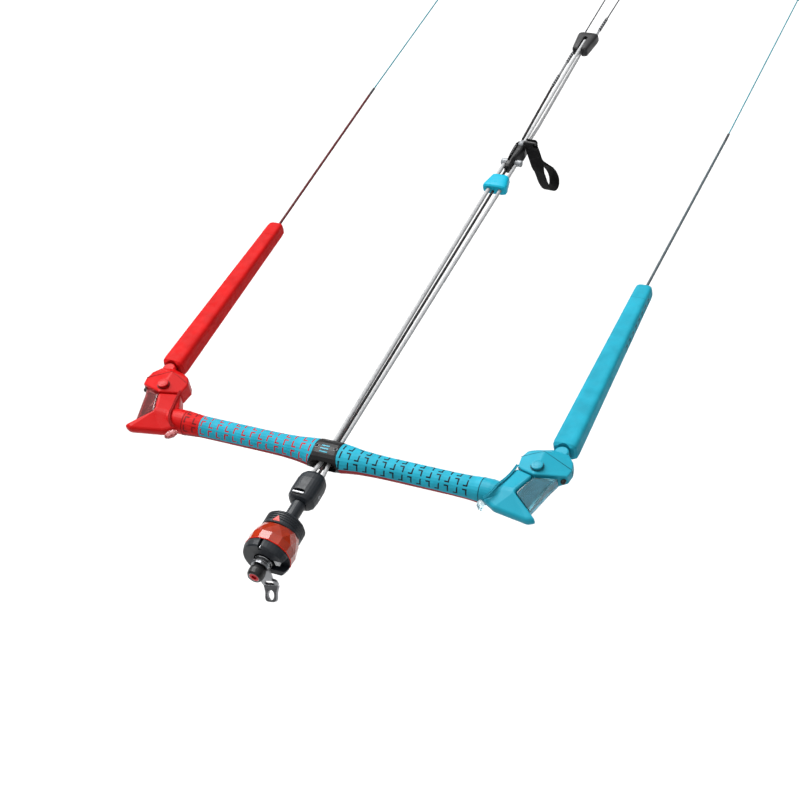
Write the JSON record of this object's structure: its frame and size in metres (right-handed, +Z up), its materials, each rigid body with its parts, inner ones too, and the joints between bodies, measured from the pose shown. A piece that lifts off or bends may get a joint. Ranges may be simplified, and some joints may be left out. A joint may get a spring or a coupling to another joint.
{
  "type": "kite control bar",
  "caption": "Straight padded bar with upturned ends and foam floats, sliding on centre lines between a harness release and a trim block.",
  "frame": {"origin": "outer end of the harness stud, on the swivel axis that the centre lines follow", "axes": "+Y along the lines towards the kite, +X along the bar towards its right-hand end, +Z up out of the face with the end buttons"},
  "size_m": [0.4962, 1.09, 0.0867],
  "materials": {
    "block_grey": "moulded",
    "bungee_cyan": "elastic braid",
    "bungee_red": "elastic braid",
    "carbon": "fibre tube",
    "clear_plastic": "clear moulded plastic",
    "clear_white": "clear moulded plastic",
    "cleat_black": "moulded",
    "depower_grey": "braided",
    "end_cyan": "moulded",
    "end_red": "moulded",
    "float_cyan": "closed-cell foam",
    "float_red": "closed-cell foam",
    "front_line": "braided",
    "grip_cyan": "soft foam rubber",
    "grip_red": "soft foam rubber",
    "guide_steel": "polished",
    "hub_black": "fine matt grain",
    "leader_left": "braided",
    "leader_right": "braided",
    "line_cyan": "braided",
    "orange_clear": "glossy, slightly see-through",
    "pin_black": "moulded",
    "release_grey": "fine matt grain",
    "rubber_black": "moulded",
    "safety_dark": "braided",
    "screw_red": "anodised look",
    "sewn_black": "stitched",
    "steel": "polished",
    "steel_satin": "satin",
    "stopper_cyan": "moulded",
    "trim_white": "braided",
    "webbing": "woven",
    "wound_line": "braided"
  },
  "bodies": {
    "trunk": {"swivel_body": "release_grey", "swivel_pin": "steel", "depower_line_left": "depower_grey", "depower_line_right": "depower_grey", "safety_line": "safety_dark", "cleat_body": "cleat_black", "cleat_thimble": "clear_white", "trim_strand_upper": "trim_white", "trim_strand_lower": "trim_white", "safety_strand": "safety_dark"},
    "guide": {"line_guide": "guide_steel"},
    "bar": {"hub_shell": "hub_black", "hub_screw_left": "steel", "hub_screw_right": "steel", "grip_right": "grip_cyan", "grip_left_inner": "grip_cyan", "grip_left_outer": "grip_red", "core_tube_left": "carbon", "core_tube_right": "carbon", "end_frame_left": "end_red", "end_frame_right": "end_cyan", "end_cap_left": "end_red", "end_cap_right": "end_cyan", "end_window_left": "clear_plastic", "end_window_right": "clear_plastic", "line_winding_left": "wound_line", "line_winding_right": "wound_line", "bungee_left": "bungee_red", "bungee_right": "bungee_cyan", "toggle_left": "clear_plastic", "toggle_right": "clear_plastic"},
    "button_left": {"end_button_left": "end_red"},
    "button_right": {"end_button_right": "end_cyan"},
    "float_arm_left": {"float_left": "float_red", "leader_left": "leader_left", "steering_line_left": "line_cyan"},
    "float_arm_right": {"float_right": "float_cyan", "leader_right": "leader_right", "steering_line_right": "line_cyan"},
    "release": {"neck_shaft": "release_grey", "release_housing": "release_grey", "housing_pin": "steel", "release_spring": "steel"},
    "sleeve": {"release_sleeve": "release_grey", "release_ring": "orange_clear"},
    "latch": {"latch_bolt": "steel"},
    "stud": {"stud_shaft": "steel", "stud_ball": "rubber_black", "stud_screw": "screw_red", "stud_washer": "steel"},
    "leash": {"leash_plate": "steel_satin"},
    "stop": {"stopper": "stopper_cyan"},
    "trim": {"trim_block": "block_grey", "block_pin": "steel", "trim_turn": "trim_white", "front_line_left": "front_line", "front_line_right": "front_line", "sewn_end_left": "sewn_black"},
    "strap": {"pull_strap": "webbing", "pull_pin": "pin_black"}
  },
  "joints": [
    {"name": "bar_sheet", "type": "slide", "parent": "trunk", "child": "guide", "axis": [0, 1, 0], "range_m": [-0.003, 0.29], "deforming": ["depower_line_left", "depower_line_right", "safety_line"]},
    {"name": "bar_steer", "type": "hinge", "parent": "guide", "child": "bar", "pos_m": [0, 0.167, 0], "axis": [0, 0, 1], "range_deg": [-30, 30], "deforming": ["depower_line_left", "depower_line_right", "safety_line"]},
    {"name": "float_left_hinge", "type": "hinge", "parent": "bar", "child": "float_arm_left", "pos_m": [-0.23, 0.231, 0], "axis": [0, 0, 1], "range_deg": [-32, 32], "deforming": ["leader_left"]},
    {"name": "float_right_hinge", "type": "hinge", "parent": "bar", "child": "float_arm_right", "pos_m": [0.23, 0.231, 0], "axis": [0, 0, 1], "range_deg": [-32, 32], "deforming": ["leader_right"]},
    {"name": "button_left_press", "type": "slide", "parent": "bar", "child": "button_left", "axis": [0, 0, -1], "range_m": [0, 0.002], "stiffness_N_per_m": 400},
    {"name": "button_right_press", "type": "slide", "parent": "bar", "child": "button_right", "axis": [0, 0, -1], "range_m": [0, 0.002], "stiffness_N_per_m": 400},
    {"name": "release_swivel", "type": "hinge", "parent": "trunk", "child": "release", "pos_m": [0, 0.1, 0], "axis": [0, 1, 0], "continuous": true},
    {"name": "sleeve_release", "type": "slide", "parent": "release", "child": "sleeve", "axis": [0, 1, 0], "range_m": [0, 0.008], "stiffness_N_per_m": 800, "deforming": ["release_spring"]},
    {"name": "latch_slide", "type": "slide", "parent": "release", "child": "latch", "axis": [0.9903, 0, 0.1392], "range_m": [0, 0.003]},
    {"name": "stud_release", "type": "slide", "parent": "release", "child": "stud", "axis": [0, -1, 0], "range_m": [0, 0.03]},
    {"name": "leash_spin", "type": "hinge", "parent": "stud", "child": "leash", "pos_m": [0, 0.0139, 0], "axis": [0, 1, 0], "continuous": true},
    {"name": "stopper_slide", "type": "slide", "parent": "trunk", "child": "stop", "axis": [0, 1, 0], "range_m": [-0.12, 0], "deforming": ["depower_line_left", "depower_line_right", "safety_line"]},
    {"name": "trim_slide", "type": "slide", "parent": "trunk", "child": "trim", "axis": [0, 1, 0], "range_m": [-0.14, 0], "deforming": ["trim_strand_upper", "trim_strand_lower", "safety_strand"]},
    {"name": "strap_swing", "type": "hinge", "parent": "trunk", "child": "strap", "pos_m": [0.0169, 0.6858, 0.014], "axis": [0.9541, -0.2419, 0.1766], "range_deg": [-8, 60]}
  ],
  "couplings": [
    {"joint": "float_left_hinge", "follows": "bar_steer", "ratio": -1},
    {"joint": "float_right_hinge", "follows": "bar_steer", "ratio": -1},
    {"joint": "latch_slide", "follows": "sleeve_release", "ratio": 0.3}
  ]
}
